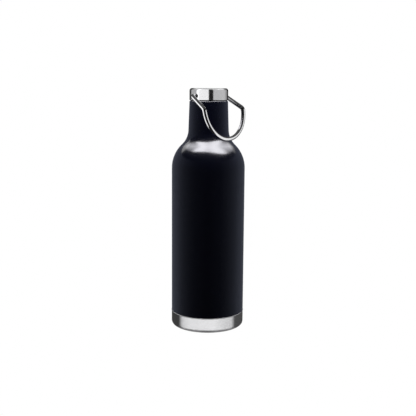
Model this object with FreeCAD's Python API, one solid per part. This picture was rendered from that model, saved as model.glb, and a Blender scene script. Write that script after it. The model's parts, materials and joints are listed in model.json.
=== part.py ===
import FreeCAD, Part
import math
import os

# A 0.95 litre (32 US fl oz) double-walled steel growler with a screw cap and a wire carrying bail.
# The bottle's axis is Z, the origin is the middle of the foot at table height, the bail's pivots
# lie along X, and the bail hangs down on the -Y side. All sizes are in millimetres.

V = FreeCAD.Vector
ORIGIN = V(0, 0, 0)
UP = V(0, 0, 1)

# Bottle, outside
body_radius = 43.0
body_top = 189.7            # where the straight side ends and the shoulder starts
shoulder_arc = 38.0         # the shoulder's outward bend
neck_arc = 24.0             # the inward bend between the shoulder and the neck
neck_radius = 22.5          # at the mouth; the neck widens downwards
neck_taper = 2.0            # degrees from the axis
mouth_height = 268.0
rim_round = 1.0
band_height = 17.6          # the bare steel band around the foot
band_round = 5.0

# Sheet metal of the double wall
wall = 0.5
vacuum_gap = 3.0
band_wall = 0.6
band_play = 0.1             # between the shell's stepped-in foot and the band
bore_radius = 20.1          # inside of the neck
liner_radius = body_radius - 2 * wall - vacuum_gap
liner_seam = 24.0           # height of the weld between the liner and its bottom
liner_floor = 10.7
foil_thick = 0.2

# Two-start thread between the neck and the plug
lead = 8.0
ridge_root = 1.7
ridge_crest = 0.9
neck_crest_radius = 18.9
plug_radius = 18.4
plug_crest_radius = 19.7
neck_thread_start = 257.0
neck_thread_turns = 0.75
plug_thread_turns = 1.0
plug_thread_lag = 1.5       # the plug's ridge runs this far below the neck's
sunk = 0.25                 # depth that a ridge's root is sunk into its wall

# Cap
cap_radius = 22.5
cap_height = 13.7
cap_bottom = mouth_height + 0.8
cap_top = cap_bottom + cap_height
cap_round = 2.8
cap_wall = 0.6
gasket_thick = 1.6
plug_bottom = 252.0
bond_thick = 0.4
core_play = 0.1

# Pivots of the bail
pivot_height = 273.6
bush_nose_radius = 2.3
bush_barrel_radius = 3.0
bush_inner_end = 13.5
bush_barrel_end = 21.6
bush_outer_end = 24.5
journal_radius = 1.5
journal_play = 0.05
journal_end = 15.0

# Bail: the two legs run out from the pivots to a crank, and a round bow joins them
wire_radius = 2.5
elbow_reach = 29.0          # from the bottle's axis to the corner of the elbow
elbow_bend = 4.0
leg_length = 27.5
leg_drop = 31.4             # degrees below level
crank_reach = 34.5
crank_bend = 6.0
bow_drop = 80.0             # degrees below level
bow_lean = 4.0              # the bow's two ends lean in by this many degrees
bow_straight = 3.0

os.makedirs("parts", exist_ok=True)


def save(name, shape):
    """Check a piece and write it as a STEP file."""
    shape = shape.removeSplitter()
    if not shape.isValid():
        raise ValueError(name + " isn't a valid shape")
    shape.exportStep("parts/" + name + ".step")
    box = shape.BoundBox
    print(f"{name:18s} solids {len(shape.Solids)}  volume {shape.Volume / 1000:8.3f} cm3  "
          f"x {box.XMin:7.2f} {box.XMax:7.2f}  y {box.YMin:7.2f} {box.YMax:7.2f}  "
          f"z {box.ZMin:7.2f} {box.ZMax:7.2f}")


def rounded_path(points, radii):
    """Straight runs through the points, with a tangent arc of radii[i] at point i."""
    edges = []
    start = points[0]
    for i in range(1, len(points)):
        corner = points[i]
        radius = radii.get(i, 0)
        if radius and i < len(points) - 1:
            back = (points[i - 1] - corner).normalize()
            ahead = (points[i + 1] - corner).normalize()
            half = back.getAngle(ahead) / 2
            reach = radius / math.tan(half)
            middle = (back + ahead).normalize()
            bend = corner + middle * (radius / math.sin(half) - radius)
            first, last = corner + back * reach, corner + ahead * reach
            if (first - start).Length > 1e-4:
                edges.append(Part.makeLine(start, first))
            edges.append(Part.Arc(first, bend, last).toShape())
            start = last
        else:
            if (corner - start).Length > 1e-4:
                edges.append(Part.makeLine(start, corner))
            start = corner
    return Part.Wire(Part.sortEdges(edges)[0])


def outline(points):
    """Turn (radius, height) pairs into points of the XZ plane."""
    return [V(r, 0, z) for r, z in points]


def turned(points, radii=None):
    """A solid turned about the Z axis from a closed outline of (radius, height) points."""
    corners = outline(points)
    wire = rounded_path(corners + corners[:1], radii or {})
    return Part.Face(wire).revolve(ORIGIN, UP, 360)


def sheet(points, radii, thickness):
    """Sheet metal turned about the Z axis: an open outline, thickened on its left-hand side."""
    path = rounded_path(outline(points), radii)
    return path.makeOffset2D(thickness, 0, True, True, False).revolve(ORIGIN, UP, 360)


def shoulder_corners(top_radius, top_height, taper, inner_bend, outer_bend, radius):
    """Corners of the outline whose two arcs, inner_bend and outer_bend, meet in one flowing curve."""
    along = V(math.sin(math.radians(taper)), 0, -math.cos(math.radians(taper)))
    outward = V(math.cos(math.radians(taper)), 0, math.sin(math.radians(taper)))
    top = V(top_radius, 0, top_height)
    outer_centre = V(radius - outer_bend, 0, body_top)
    offset = top + outward * inner_bend - outer_centre
    half = offset.dot(along)
    inner_centre = outer_centre + offset + along * (
        math.sqrt(half ** 2 - offset.dot(offset) + (inner_bend + outer_bend) ** 2) * -1 - half)
    towards = (inner_centre - outer_centre).normalize()
    meeting = outer_centre + towards * outer_bend
    tangent = V(towards.z, 0, -towards.x)
    to_neck = (top - meeting).cross(along).dot(V(0, 1, 0)) / tangent.cross(along).dot(V(0, 1, 0))
    neck_corner = meeting + tangent * to_neck
    body_corner = meeting + tangent * ((radius - meeting.x) / tangent.x)
    return (neck_corner.x, neck_corner.z), (body_corner.x, body_corner.z)


def ridge(wall_radius, crest_radius, start_height, start_angle, turns):
    """One helical thread ridge, its root sunk a little into the wall it stands on."""
    outwards = 1 if crest_radius > wall_radius else -1
    root = wall_radius - outwards * sunk
    spread = ridge_root / 2 + sunk * (ridge_root - ridge_crest) / 2 / abs(crest_radius - wall_radius)
    path = Part.makeHelix(lead, lead * turns, wall_radius)
    profile = Part.makePolygon([V(root, 0, -spread), V(crest_radius, 0, -ridge_crest / 2),
                                V(crest_radius, 0, ridge_crest / 2), V(root, 0, spread),
                                V(root, 0, -spread)])
    solid = Part.Wire(path).makePipeShell([profile], True, True)
    solid.rotate(ORIGIN, UP, start_angle)
    solid.translate(V(0, 0, start_height))
    return solid


def across(points, radii=None):
    """A solid turned about the pivot axis from (distance from the bottle's axis, radius) points."""
    corners = [V(x, 0, pivot_height + r) for x, r in points]
    wire = rounded_path(corners + corners[:1], radii or {})
    return Part.Face(wire).revolve(V(0, 0, pivot_height), V(1, 0, 0), 360)


def other_side(shape):
    """The same piece on the -X side."""
    return shape.mirror(ORIGIN, V(1, 0, 0))


# ---- Bottle -------------------------------------------------------------------------------

foot_radius = body_radius - band_wall - band_play
weld_radius = 21.1          # where the shell's rim and the liner's lip are welded


def outer_shell():
    """Coated outer wall: rim, tapered neck, shoulder, straight side and a stepped-in foot."""
    slope = math.tan(math.radians(neck_taper))
    rim_radius = neck_radius - rim_round * slope
    neck, body = shoulder_corners(neck_radius, mouth_height - rim_round, neck_taper,
                                  neck_arc, shoulder_arc, body_radius)
    step = body_radius - foot_radius
    points = [(weld_radius, mouth_height), (rim_radius, mouth_height), neck, body,
              (body_radius, band_height + 0.1 + step), (foot_radius, band_height + 0.1),
              (foot_radius, 7.5)]
    radii = {1: rim_round, 2: neck_arc, 3: shoulder_arc, 4: 0.6, 5: 0.4}
    return sheet(points, radii, -wall)


def outer_bottom():
    """Disc welded into the foot of the shell, with a dimple and the pump-out hole in its middle."""
    edge = foot_radius - wall - 0.05
    points = [(1.0, 7.6), (5.5, 7.6), (7.5, 5.6), (edge, 5.6), (edge, 10.6)]
    return sheet(points, {1: 0.8, 2: 1.2, 3: 2.5}, wall)


def seal_bead():
    """Bead of solder glass that closes the pump-out hole from below."""
    points = [(0, 6.2), (3.6, 6.2), (3.6, 7.55), (0.95, 7.55), (0.95, 8.3), (0, 8.3)]
    return turned(points, {1: 1.2})


def base_cup():
    """Bare steel cup over the foot: the band, its rounded edge, the foot ring and a raised middle."""
    points = [(body_radius - 0.15, band_height), (body_radius, band_height - 0.25),
              (body_radius, 0), (33.0, 0), (31.0, 2.4), (0, 2.4)]
    return sheet(points, {2: band_round, 3: 1.0, 4: 1.0}, -band_wall)


def inner_vessel():
    """Liner: lip, threaded neck, shoulder and straight side."""
    bend = neck_arc + body_radius - liner_radius
    neck, body = shoulder_corners(bore_radius, mouth_height, 0, bend,
                                  shoulder_arc - body_radius + liner_radius, liner_radius)
    points = [(weld_radius, mouth_height), (bore_radius, mouth_height), neck, body,
              (liner_radius, liner_seam)]
    radii = {1: 0.9, 2: bend, 3: shoulder_arc - body_radius + liner_radius}
    vessel = sheet(points, radii, wall)
    for start_angle in (0, 180):
        vessel = vessel.fuse(ridge(bore_radius, neck_crest_radius, neck_thread_start,
                                   start_angle, neck_thread_turns))
    return vessel


def inner_bottom():
    """Round-cornered cup welded under the liner, with a slightly raised middle."""
    points = [(0, liner_floor + 1.3), (18, liner_floor + 1.3), (26, liner_floor),
              (liner_radius, liner_floor), (liner_radius, liner_seam)]
    return sheet(points, {1: 12, 2: 12, 3: 8}, -wall)


def copper_foil():
    """Heat-reflecting copper foil around the liner, its two ends 2 mm apart."""
    inside = liner_radius + wall + 0.05
    wrap = turned([(inside, 27), (inside + foil_thick, 27),
                   (inside + foil_thick, body_top - 4), (inside, body_top - 4)])
    return wrap.cut(Part.makeBox(3, 2, 200, V(inside - 1, -1, 0)))


getter_place = 24.0         # distance of the getter from the axis
getter_floor = 5.6 + wall


def getter():
    """Pellet that soaks up stray gas in the vacuum space."""
    pellet = Part.makeCylinder(4, 2, V(0, getter_place, getter_floor))
    rims = [e for e in pellet.Edges if abs(e.BoundBox.ZLength) < 1e-6]
    return pellet.makeChamfer(0.3, rims)


def getter_clip():
    """Spot-welded strip that holds the getter down: two feet and a bridge."""
    thick = 0.3
    half = 4.3
    top = 2.05
    points = [V(-half - 3, 0, thick), V(-half, 0, thick), V(-half, 0, top + thick),
              V(half, 0, top + thick), V(half, 0, thick), V(half + 3, 0, thick),
              V(half + 3, 0, 0), V(half - thick, 0, 0), V(half - thick, 0, top),
              V(thick - half, 0, top), V(thick - half, 0, 0), V(-half - 3, 0, 0), V(-half - 3, 0, thick)]
    strip = Part.Face(Part.makePolygon(points)).extrude(V(0, 3, 0))
    strip.translate(V(0, getter_place - 1.5, getter_floor))
    cheeks = Part.makeCylinder(4.1, top, V(0, getter_place, getter_floor))
    return strip.cut(cheeks)


# ---- Cap ----------------------------------------------------------------------------------

shell_inside = cap_radius - cap_wall
core_radius = shell_inside - core_play
core_top = cap_top - cap_wall - bond_thick
flange_bottom = mouth_height + gasket_thick


def mouth_gasket():
    """Flat silicone ring between the rim and the cap's flange."""
    points = [(19.0, mouth_height), (21.4, mouth_height), (21.4, flange_bottom),
              (19.0, flange_bottom)]
    return turned(points, {1: 0.2, 2: 0.2})


def cap_shell():
    """Steel cup with a rounded top edge, a curled lower lip and a hole for each pivot bush."""
    points = [(0, cap_top), (cap_radius, cap_top), (cap_radius, cap_bottom + 0.3),
              (cap_radius - 0.3, cap_bottom)]
    shell = sheet(points, {1: cap_round}, -cap_wall)
    hole = Part.makeCylinder(bush_nose_radius + 0.05, 2 * cap_radius + 2,
                             V(-cap_radius - 1, 0, pivot_height), V(1, 0, 0))
    return shell.cut(hole)


def bond_disc():
    """Adhesive foam disc between the steel cup and the core."""
    return turned([(0, core_top), (18, core_top), (18, core_top + bond_thick),
                   (0, core_top + bond_thick)])


def cap_core():
    """Moulded core: flange, hollow plug with two thread ridges, and sockets for the bushes."""
    points = [(0, 278.5), (0, core_top), (core_radius, core_top), (core_radius, flange_bottom),
              (plug_radius, flange_bottom), (plug_radius, plug_bottom), (17.5, plug_bottom),
              (17.5, plug_bottom + 1.6), (16.4, plug_bottom + 1.6), (16.4, 267.5), (12.0, 267.5),
              (12.0, 278.5)]
    core = turned(points, {2: cap_round - cap_wall, 5: 0.5, 9: 1.5, 11: 1.5})
    for side in (1, -1):
        core = core.cut(Part.makeCylinder(bush_barrel_radius + 0.05, 20,
                                          V(side * (bush_inner_end - 0.1), 0, pivot_height),
                                          V(side, 0, 0)))
    below = plug_thread_lag + lead / 3
    for start_angle in (0, 180):
        core = core.fuse(ridge(plug_radius, plug_crest_radius, neck_thread_start - below,
                               start_angle - 120, plug_thread_turns))
    return core


def core_foam():
    """Foam that fills the hollow core."""
    points = [(0, plug_bottom + 1.7), (16.3, plug_bottom + 1.7), (16.3, 267.4), (11.9, 267.4),
              (11.9, 278.4), (0, 278.4)]
    return turned(points, {2: 1.6, 4: 1.6})


def core_floor():
    """Disc welded into the bottom of the plug."""
    return turned([(0, plug_bottom), (17.45, plug_bottom), (17.45, plug_bottom + 1.55),
                   (0, plug_bottom + 1.55)], {1: 0.4})


def pivot_bush():
    """Blind bush on the +X side, with a snap rib that holds the bail's journal."""
    bore = journal_radius + journal_play
    points = [(bush_inner_end, 0), (bush_inner_end, bush_barrel_radius),
              (bush_barrel_end, bush_barrel_radius), (bush_barrel_end, bush_nose_radius),
              (bush_outer_end, bush_nose_radius), (bush_outer_end, bore), (16.6, bore),
              (16.6, bore - 0.25), (16.0, bore - 0.25), (16.0, bore), (14.6, bore), (14.6, 0)]
    return across(points, {4: 0.4})


# ---- Bail ---------------------------------------------------------------------------------

def bail_frame():
    """The crank's corner, the bow's start, its centre and radius, and its downward direction."""
    drop = math.radians(leg_drop)
    crank = V(crank_reach, -leg_length * math.cos(drop), pivot_height - leg_length * math.sin(drop))
    down = V(0, -math.cos(math.radians(bow_drop)), -math.sin(math.radians(bow_drop)))
    lean = math.radians(bow_lean)
    start = crank + (down * math.cos(lean) - V(1, 0, 0) * math.sin(lean)) * bow_straight
    radius = start.x / math.cos(lean)
    centre = V(0, start.y, start.z) - down * (radius * math.sin(lean))
    return crank, start, centre, radius, down


def bail_handle():
    """One bent wire: journals turned down at its two ends, elbows, legs, cranks and the bow."""
    crank, start, centre, radius, down = bail_frame()
    elbow = V(elbow_reach, 0, pivot_height)
    end = V(bush_outer_end + 0.3, 0, pivot_height)
    side = rounded_path([end, elbow, crank, start], {1: elbow_bend, 2: crank_bend})
    bow = Part.Arc(start, centre + down * radius, V(-start.x, start.y, start.z)).toShape()
    mirrored = other_side(side)
    path = Part.Wire(Part.sortEdges(side.Edges + [bow] + mirrored.Edges)[0])
    section = Part.Wire(Part.makeCircle(wire_radius, end, V(1, 0, 0)))
    wire = path.makePipeShell([section], True, False)
    print(f"bail: wire length {path.Length:.1f}, bow radius {radius:.2f}, volume over section times "
          f"length {wire.Volume / (math.pi * wire_radius ** 2 * path.Length):.4f}")
    groove = journal_radius - 0.28
    journal = across([(journal_end, 0), (journal_end, journal_radius), (15.8, journal_radius),
                      (15.8, groove), (16.8, groove), (16.8, journal_radius),
                      (end.x + 0.1, journal_radius), (end.x + 0.1, 0)], {1: 0.3})
    return wire.fuse(journal).fuse(other_side(journal))


pieces = {
    "outer_shell": outer_shell(),
    "outer_bottom": outer_bottom(),
    "seal_bead": seal_bead(),
    "base_cup": base_cup(),
    "inner_vessel": inner_vessel(),
    "inner_bottom": inner_bottom(),
    "copper_foil": copper_foil(),
    "getter": getter(),
    "getter_clip": getter_clip(),
    "mouth_gasket": mouth_gasket(),
    "cap_shell": cap_shell(),
    "bond_disc": bond_disc(),
    "cap_core": cap_core(),
    "core_foam": core_foam(),
    "core_floor": core_floor(),
    "pivot_bush_right": pivot_bush(),
    "pivot_bush_left": other_side(pivot_bush()),
    "bail_handle": bail_handle(),
}

for name, shape in pieces.items():
    save(name, shape)
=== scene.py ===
import json
import math

import bmesh
import bpy
from mathutils import Matrix, Vector


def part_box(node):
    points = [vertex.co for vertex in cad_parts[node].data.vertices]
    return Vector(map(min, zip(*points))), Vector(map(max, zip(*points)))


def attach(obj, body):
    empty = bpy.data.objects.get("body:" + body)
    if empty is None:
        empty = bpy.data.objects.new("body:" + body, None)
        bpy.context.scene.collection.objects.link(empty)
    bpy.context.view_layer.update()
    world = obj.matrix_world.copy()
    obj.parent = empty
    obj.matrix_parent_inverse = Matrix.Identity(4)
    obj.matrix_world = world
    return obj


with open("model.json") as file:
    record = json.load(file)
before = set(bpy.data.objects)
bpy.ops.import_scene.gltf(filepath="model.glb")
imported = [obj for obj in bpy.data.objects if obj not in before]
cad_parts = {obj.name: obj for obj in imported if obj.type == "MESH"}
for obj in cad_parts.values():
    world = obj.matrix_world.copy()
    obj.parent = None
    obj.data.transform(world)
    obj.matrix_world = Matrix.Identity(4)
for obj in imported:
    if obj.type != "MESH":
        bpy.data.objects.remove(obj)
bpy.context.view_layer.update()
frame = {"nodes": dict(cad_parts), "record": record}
nodes = frame["nodes"]
scene = bpy.context.scene

# The growler's looks, on a studio stage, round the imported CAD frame.
#
# Lengths are in metres and angles in degrees, unless a comment says otherwise. The bottle stands on
# the floor with its axis on Z. An azimuth counts round that axis from the camera's side, and it is
# positive to the right in the picture; only the camera's own azimuth counts from the -Y side.

# ---- Camera ---------------------------------------------------------------------------------

CAMERA_AZIMUTH = -49.0
CAMERA_DISTANCE = 0.9       # from the bottle's axis, level
CAMERA_HEIGHT = 0.2828
CAMERA_PITCH = 8.918        # below level
CAMERA_ROLL = 0.42
CAMERA_LENS = 66.22         # millimetres
SENSOR_WIDTH = 36.0         # millimetres


def bearing(azimuth):
    """Level unit vector from the bottle's axis towards this azimuth."""
    a = math.radians(CAMERA_AZIMUTH + azimuth)
    return Vector((math.sin(a), -math.cos(a), 0))


def make_camera():
    """A camera at the photograph's viewing angle, tilted down and rolled a little."""
    data = bpy.data.cameras.new("camera")
    data.lens = CAMERA_LENS
    data.sensor_width = SENSOR_WIDTH
    camera = bpy.data.objects.new("camera", data)
    scene.collection.objects.link(camera)
    turn = (Matrix.Rotation(math.radians(CAMERA_AZIMUTH), 4, "Z")
            @ Matrix.Rotation(math.radians(90 - CAMERA_PITCH), 4, "X")
            @ Matrix.Rotation(math.radians(CAMERA_ROLL), 4, "Z"))
    place = bearing(0) * CAMERA_DISTANCE + Vector((0, 0, CAMERA_HEIGHT))
    camera.matrix_world = Matrix.Translation(place) @ turn
    scene.camera = camera


# ---- Node helpers ---------------------------------------------------------------------------

class Shader:
    """A material with a Principled shader, and short ways to add nodes to it."""

    def __init__(self, name, **uniform):
        self.material = bpy.data.materials.new(name)
        self.material.use_nodes = True
        self.tree = self.material.node_tree
        self.bsdf = self.tree.nodes["Principled BSDF"]
        for socket, value in uniform.items():
            self.bsdf.inputs[socket.replace("_", " ")].default_value = value

    def add(self, kind, inputs=None, **settings):
        """A node of this kind; inputs are values or sockets, by name or number."""
        node = self.tree.nodes.new(kind)
        for key, value in settings.items():
            setattr(node, key, value)
        for key, value in (inputs or {}).items():
            self.feed(node.inputs[key], value)
        return node

    def feed(self, socket, value):
        """Link the socket to another one, or give it a plain value."""
        if isinstance(value, bpy.types.NodeSocket):
            self.tree.links.new(value, socket)
        else:
            socket.default_value = value

    def set(self, socket, value):
        """Feed one of the Principled shader's own sockets."""
        self.feed(self.bsdf.inputs[socket], value)

    def math(self, operation, a, b):
        return self.add("ShaderNodeMath", {0: a, 1: b}, operation=operation).outputs[0]

    def ramp(self, value, low, high):
        """Map a value from 0..1 to low..high, held at both ends."""
        return self.add("ShaderNodeMapRange", {"Value": value, "To Min": low, "To Max": high}).outputs[0]

    def colours(self, value, first, second):
        """Blend two (red, green, blue) colours: value 0 gives the first and 1 the second."""
        mix = self.add("ShaderNodeMix", {0: value, 6: (*first, 1), 7: (*second, 1)}, data_type="RGBA")
        return mix.outputs[2]

    def place(self):
        return self.add("ShaderNodeTexCoord").outputs["Object"]

    def noise(self, vector, scale, detail, roughness=0.5):
        inputs = {"Vector": vector, "Scale": scale, "Detail": detail, "Roughness": roughness}
        return self.add("ShaderNodeTexNoise", inputs).outputs[0]

    def bump(self, height, strength, distance):
        inputs = {"Height": height, "Strength": strength, "Distance": distance}
        return self.add("ShaderNodeBump", inputs).outputs[0]

    def round_axis(self, along, across):
        """Coordinates that stretch a pattern into lines round the Z axis.

        The pattern's scale is along in the lines' direction and across from line to line.
        """
        split = self.add("ShaderNodeSeparateXYZ", {0: self.place()}).outputs
        flat = self.add("ShaderNodeCombineXYZ", {0: split[0], 1: split[1]}).outputs[0]
        radius = self.add("ShaderNodeVectorMath", {0: flat}, operation="LENGTH").outputs["Value"]
        unit = self.add("ShaderNodeVectorMath", {0: flat}, operation="NORMALIZE").outputs[0]
        ring = self.add("ShaderNodeVectorMath", {0: unit, "Scale": along}, operation="SCALE").outputs[0]
        rise = self.math("MULTIPLY", self.math("ADD", split[2], radius), across)
        lift = self.add("ShaderNodeCombineXYZ", {2: rise}).outputs[0]
        return self.add("ShaderNodeVectorMath", {0: ring, 1: lift}, operation="ADD").outputs[0]


def scaled(colour, factor):
    """The colour with each of its parts times the factor."""
    return tuple(part * factor for part in colour)


# ---- Materials ------------------------------------------------------------------------------

def powder_coat():
    """Satin near-black navy coat with a fine orange-peel grain."""
    s = Shader("powder_coat")
    peel = s.noise(s.place(), scale=1600, detail=3, roughness=0.6)
    cloud = s.noise(s.place(), scale=90, detail=2)
    s.set("Base Color", s.colours(cloud, (0.0005, 0.0007, 0.0022), (0.0008, 0.0010, 0.0032)))
    s.set("Roughness", s.ramp(peel, 0.16, 0.20))
    s.set("Normal", s.bump(peel, strength=0.12, distance=0.00008))
    return s.material


def brushed_steel(name, tint, roughness, blur):
    """Steel brushed round the bottle's axis: the light smears across the brush lines."""
    s = Shader(name, Metallic=1.0, Anisotropic=blur, Anisotropic_Rotation=0.25)
    s.set("Tangent", s.add("ShaderNodeTangent", direction_type="RADIAL", axis="Z").outputs[0])
    lines = s.noise(s.round_axis(along=3.0, across=2600), scale=1, detail=4, roughness=0.65)
    bands = s.noise(s.round_axis(along=1.5, across=420), scale=1, detail=2)
    s.set("Base Color", s.colours(lines, scaled(tint, 0.9), tint))
    s.set("Roughness", s.ramp(bands, roughness * 0.85, roughness * 1.15))
    s.set("Normal", s.bump(lines, strength=0.08, distance=0.00004))
    return s.material


def polished_steel():
    """Polished drawn wire with faint handling marks."""
    s = Shader("polished_steel", Metallic=1.0)
    marks = s.noise(s.place(), scale=700, detail=4, roughness=0.6)
    smears = s.noise(s.place(), scale=60, detail=2)
    s.set("Base Color", s.colours(marks, (0.66, 0.66, 0.67), (0.76, 0.76, 0.77)))
    s.set("Roughness", s.ramp(smears, 0.08, 0.16))
    s.set("Normal", s.bump(marks, strength=0.05, distance=0.00004))
    return s.material


def plain_metal(name, colour, roughness):
    """Sheet metal with a mill grain."""
    s = Shader(name, Metallic=1.0)
    grain = s.noise(s.place(), scale=900, detail=3)
    s.set("Base Color", s.colours(grain, scaled(colour, 0.85), colour))
    s.set("Roughness", s.ramp(grain, roughness * 0.8, roughness * 1.2))
    s.set("Normal", s.bump(grain, strength=0.1, distance=0.00005))
    return s.material


def moulded(name, colour, roughness, grain_scale=1100, specular=0.5):
    """Moulded plastic, silicone or glass with a fine grain."""
    s = Shader(name, Specular_IOR_Level=specular)
    grain = s.noise(s.place(), scale=grain_scale, detail=3, roughness=0.6)
    s.set("Base Color", s.colours(grain, colour, scaled(colour, 1.35)))
    s.set("Roughness", s.ramp(grain, roughness * 0.85, roughness * 1.15))
    s.set("Normal", s.bump(grain, strength=0.2, distance=0.00005))
    return s.material


def foam(name, colour):
    """Closed-cell foam."""
    s = Shader(name)
    cells = s.add("ShaderNodeTexVoronoi", {"Vector": s.place(), "Scale": 1400}).outputs[0]
    s.set("Base Color", s.colours(cells, scaled(colour, 0.7), colour))
    s.set("Roughness", s.ramp(cells, 0.8, 0.95))
    s.set("Normal", s.bump(cells, strength=0.4, distance=0.0002))
    return s.material


def paint_cad():
    """Give every CAD node its procedural finish, by the record's material slots."""
    finishes = {
        "powder_coat": powder_coat(),
        "brushed_steel": brushed_steel("brushed_steel", (0.66, 0.66, 0.67), roughness=0.19, blur=0.9),
        "polished_steel": polished_steel(),
        "liner_steel": brushed_steel("liner_steel", (0.60, 0.60, 0.61), roughness=0.32, blur=0.3),
        "plain_steel": plain_metal("plain_steel", (0.52, 0.52, 0.53), roughness=0.34),
        "copper": plain_metal("copper", (0.78, 0.40, 0.26), roughness=0.25),
        "solder_glass": moulded("solder_glass", (0.12, 0.11, 0.10), roughness=0.25, grain_scale=400),
        "getter_metal": plain_metal("getter_metal", (0.25, 0.24, 0.23), roughness=0.6),
        "silicone": moulded("silicone", (0.004, 0.004, 0.0045), roughness=0.7),
        "core_plastic": moulded("core_plastic", (0.012, 0.012, 0.013), roughness=0.42),
        "bush_plastic": moulded("bush_plastic", (0.002, 0.002, 0.002), roughness=0.75, specular=0.05),
        "core_foam": foam("core_foam", (0.80, 0.74, 0.55)),
        "adhesive_foam": foam("adhesive_foam", (0.70, 0.70, 0.66)),
    }
    for part in frame["record"]["subparts"]:
        mesh = nodes[part["node"]].data
        mesh.materials.clear()
        mesh.materials.append(finishes[part["material_slot"]])


# ---- The piece that the bottle shows besides its CAD nodes ------------------------------------

LIP_BEAD = 0.00045          # radius of the bead
LIP_SUNK = 0.0002           # the bead's centre runs this far inside the band's face
LIP_SIDES = (192, 12)       # facets round the bottle and round the bead


def band_lip():
    """Rolled bright lip along the band's upper edge, where the coat ends."""
    band_radius, _, band_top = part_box("base_cup")[1]
    around, across = LIP_SIDES
    shape = bmesh.new()
    rings = []
    for i in range(around):
        a = 2 * math.pi * i / around
        ring = []
        for j in range(across):
            b = 2 * math.pi * j / across
            radius = band_radius - LIP_SUNK + LIP_BEAD * math.cos(b)
            height = band_top + LIP_BEAD * math.sin(b)
            ring.append(shape.verts.new((radius * math.cos(a), radius * math.sin(a), height)))
        rings.append(ring)
    for i, ring in enumerate(rings):
        after = rings[(i + 1) % around]
        for j in range(across):
            k = (j + 1) % across
            shape.faces.new((ring[j], after[j], after[k], ring[k]))
    mesh = bpy.data.meshes.new("base_band_lip")
    shape.to_mesh(mesh)
    shape.free()
    mesh.shade_smooth()
    mesh.materials.append(nodes["base_cup"].data.materials[0])
    lip = bpy.data.objects.new("base_band_lip", mesh)
    scene.collection.objects.link(lip)
    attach(lip, "bottle")


# ---- Stage ----------------------------------------------------------------------------------

# The steel, the coat and the wire mirror different things in the photograph. So each finish has
# glowing sheets of its own, linked to the nodes that wear it.

WHITE = (1.0, 1.0, 1.0)
COOL = (0.88, 0.96, 1.25)
FAINTLY_COOL = (0.98, 0.97, 1.03)

CARD_CENTRE = Vector((0, 0, 0.24))
CARD_DISTANCE = 1.3
CARD_ROWS = 8
SHOULDER = Vector((0, 0, 0.21))
BOX_BOW = 0.80              # a box's sides reach further than its front by this share of the front's reach
BOX_SLANT = 0.18            # its right side reaches further by this share, and its left side less
BOX_MIDDLE = 0.8            # radiance over the axis, as a share of the rim's brightest
PROFILE_STEP = 6            # about this many degrees between a sheet's points
WORLD_AS_LIGHT = 0.015
WORLD_AS_SEEN = 1.0
FLOOR_REACH = 30.0

# A profile is a list of (azimuth, radiance) pairs; the radiance runs evenly from pair to pair.
COAT_PROFILE = [
    (-180, 0.13), (-155, 0.15), (-110, 0.28), (-82, 0.17), (-59, 0.08), (-38, 0.03), (0, 0.0),
    (38, 0.03), (59, 0.09), (82, 0.19), (110, 0.28), (155, 0.14), (180, 0.13)]
SOFTBOX_PROFILE = [
    (-180, 1.0), (-84, 2.0), (-64, 19.0), (-40, 21.0), (0, 15.0), (40, 21.0), (66, 18.0),
    (90, 2.0), (180, 1.0)]
CAP_PROFILE = [
    (-160, 0.04), (-132, 0.06), (-124, 0.6), (-77, 0.6), (-76, 2.0), (-62, 2.0), (-61, 1.35),
    (-1, 1.3), (0, 0.0), (26, 0.0), (27, 0.72), (104, 0.75), (140, 0.2)]
BAND_PROFILE = [
    (-180, 0.05), (-101, 0.05), (-86, 0.9), (-60, 1.2), (20, 1.3), (60, 1.0), (84, 0.9),
    (97, 0.1), (180, 0.06)]
WIRE_PROFILE = [
    (-180, 0.12), (-120, 0.05), (-108, 1.5), (-62, 1.5), (-52, 0.0), (52, 0.0), (62, 1.1),
    (104, 1.1), (116, 0.05), (180, 0.12)]


def even(radiance, start=-180, end=180):
    """A profile with the same radiance from start to end."""
    return [(start, radiance), (end, radiance)]


def spread(profile):
    """The profile's pairs, with evenly changing ones between them."""
    stops = []
    for (start, first), (end, last) in zip(profile, profile[1:]):
        count = max(1, round((end - start) / PROFILE_STEP))
        stops += [(start + (end - start) * k / count, first + (last - first) * k / count)
                  for k in range(count)]
    return stops + [profile[-1]]


def glow(name, colour):
    """A clear material that glows by the mesh's radiance attribute and hides nothing behind it."""
    s = Shader(name)
    radiance = s.add("ShaderNodeAttribute", attribute_name="radiance").outputs["Fac"]
    emission = s.add("ShaderNodeEmission", {"Color": (*colour, 1), "Strength": radiance}).outputs[0]
    clear = s.add("ShaderNodeBsdfTransparent").outputs[0]
    both = s.add("ShaderNodeAddShader", {0: emission, 1: clear}).outputs[0]
    s.feed(s.tree.nodes["Material Output"].inputs["Surface"], both)
    s.tree.nodes.remove(s.bsdf)
    return s.material


def sheet(name, verts, faces, radiance, receivers, colour):
    """A glowing sheet that the camera doesn't see and that lights only the receivers."""
    mesh = bpy.data.meshes.new(name)
    mesh.from_pydata(verts, [], faces)
    level = mesh.attributes.new("radiance", "FLOAT", "POINT")
    level.data.foreach_set("value", radiance)
    mesh.materials.append(glow(name, colour))
    light = bpy.data.objects.new(name, mesh)
    scene.collection.objects.link(light)
    light.visible_camera = False
    group = bpy.data.collections.new(name + "_receivers")
    for receiver in receivers:
        group.objects.link(nodes.get(receiver) or bpy.data.objects[receiver])
    light.light_linking.receiver_collection = group


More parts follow.
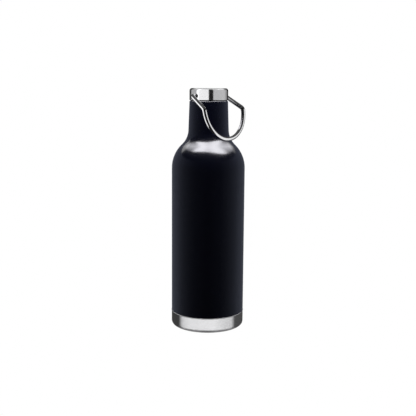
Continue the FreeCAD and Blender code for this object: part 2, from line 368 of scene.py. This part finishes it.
def curved_card(name, profile, receivers, low, high, distance=CARD_DISTANCE, colour=WHITE):
    """A sheet curved round the object, between the elevations low and high."""
    verts = []
    radiance = []
    stops = spread(profile)
    for azimuth, level in stops:
        for row in range(CARD_ROWS + 1):
            elevation = math.radians(low + (high - low) * row / CARD_ROWS)
            direction = bearing(azimuth) * math.cos(elevation) + Vector((0, 0, math.sin(elevation)))
            verts.append(CARD_CENTRE + direction * distance)
            radiance.append(level)
    faces = []
    for column in range(len(stops) - 1):
        for row in range(CARD_ROWS):
            a = column * (CARD_ROWS + 1) + row
            b = a + CARD_ROWS + 1
            faces.append((a, a + 1, b + 1, b))
    sheet(name, verts, faces, radiance, receivers, colour)


def overhead_box(name, profile, receivers, height, front, colour=WHITE):
    """A level sheet this high above the shoulder, which reaches least far at its front."""
    middle = SHOULDER + Vector((0, 0, height))
    verts = [middle]
    radiance = [BOX_MIDDLE * max(level for _, level in profile)]
    for azimuth, level in spread(profile)[:-1]:
        a = math.radians(azimuth)
        reach = front * (1 + BOX_BOW * (1 - math.cos(a)) + BOX_SLANT * math.sin(a))
        verts.append(middle + bearing(azimuth) * reach)
        radiance.append(level)
    rim = len(verts) - 1
    faces = [(0, 1 + k, 1 + (k + 1) % rim) for k in range(rim)]
    sheet(name, verts, faces, radiance, receivers, colour)


def make_lights():
    """The sheets of the coat and the plain pieces, of the cap and the band, and of the wire."""
    metals = ("cap_shell", "base_cup", "bail_handle")
    others = [name for name in nodes if name not in metals]
    overhead_box("softbox", SOFTBOX_PROFILE, others, height=0.2, front=0.133, colour=FAINTLY_COOL)
    overhead_box("metal_ceiling", even(0.85), ("cap_shell", "base_cup"), height=1.0, front=0.54)
    overhead_box("wire_ceiling", even(0.1), ("bail_handle",), height=1.1, front=0.60)
    curved_card("coat_wall", COAT_PROFILE, others, low=-70, high=24, colour=COOL)
    curved_card("back_left_card", even(2.2, -155, -118), others, low=25, high=41, distance=1.2)
    curved_card("back_right_card", even(1.3, 118, 155), others, low=25, high=41, distance=1.2)
    curved_card("cap_wall", CAP_PROFILE, ("cap_shell",), low=-45, high=60)
    curved_card("wire_wall", WIRE_PROFILE, ("bail_handle",), low=-50, high=30)
    curved_card("band_wall", BAND_PROFILE, ("base_cup",), low=-45, high=-3)
    curved_card("lip_ceiling", even(1.1), ("base_band_lip",), low=5, high=70)
    curved_card("foot_wall", even(0.3), ("base_cup",), low=-80, high=-46)


def make_floor():
    """A plain white floor to the horizon, which takes no shadow and isn't mirrored."""
    corners = [(x * FLOOR_REACH, y * FLOOR_REACH, 0) for x, y in ((-1, -1), (1, -1), (1, 1), (-1, 1))]
    mesh = bpy.data.meshes.new("floor")
    mesh.from_pydata(corners, [], [(0, 1, 2, 3)])
    s = Shader("floor", Base_Color=(0.0, 0.0, 0.0, 1), Roughness=0.9, Specular_IOR_Level=0.0,
               Emission_Color=(*WHITE, 1), Emission_Strength=1.0)
    mesh.materials.append(s.material)
    floor = bpy.data.objects.new("floor", mesh)
    scene.collection.objects.link(floor)
    floor.visible_glossy = False


def make_world():
    """Surroundings that the camera sees as white and that give only a dim light."""
    world = bpy.data.worlds.new("studio")
    scene.world = world
    world.use_nodes = True
    tree = world.node_tree
    tree.nodes.clear()
    mix = tree.nodes.new("ShaderNodeMixShader")
    for slot, strength in ((1, WORLD_AS_LIGHT), (2, WORLD_AS_SEEN)):
        background = tree.nodes.new("ShaderNodeBackground")
        background.inputs["Color"].default_value = (*WHITE, 1)
        background.inputs["Strength"].default_value = strength
        tree.links.new(background.outputs[0], mix.inputs[slot])
    path = tree.nodes.new("ShaderNodeLightPath")
    output = tree.nodes.new("ShaderNodeOutputWorld")
    tree.links.new(path.outputs["Is Camera Ray"], mix.inputs[0])
    tree.links.new(mix.outputs[0], output.inputs[0])


def calm_bail():
    """Keep the wire's dark image and its shadow off the shoulder's highlight."""
    nodes["bail_handle"].visible_glossy = False
    nodes["bail_handle"].visible_shadow = False


make_camera()
paint_cad()
calm_bail()
band_lip()
make_floor()
make_world()
make_lights()
scene.view_settings.view_transform = "Standard"
scene.cycles.use_denoising = True
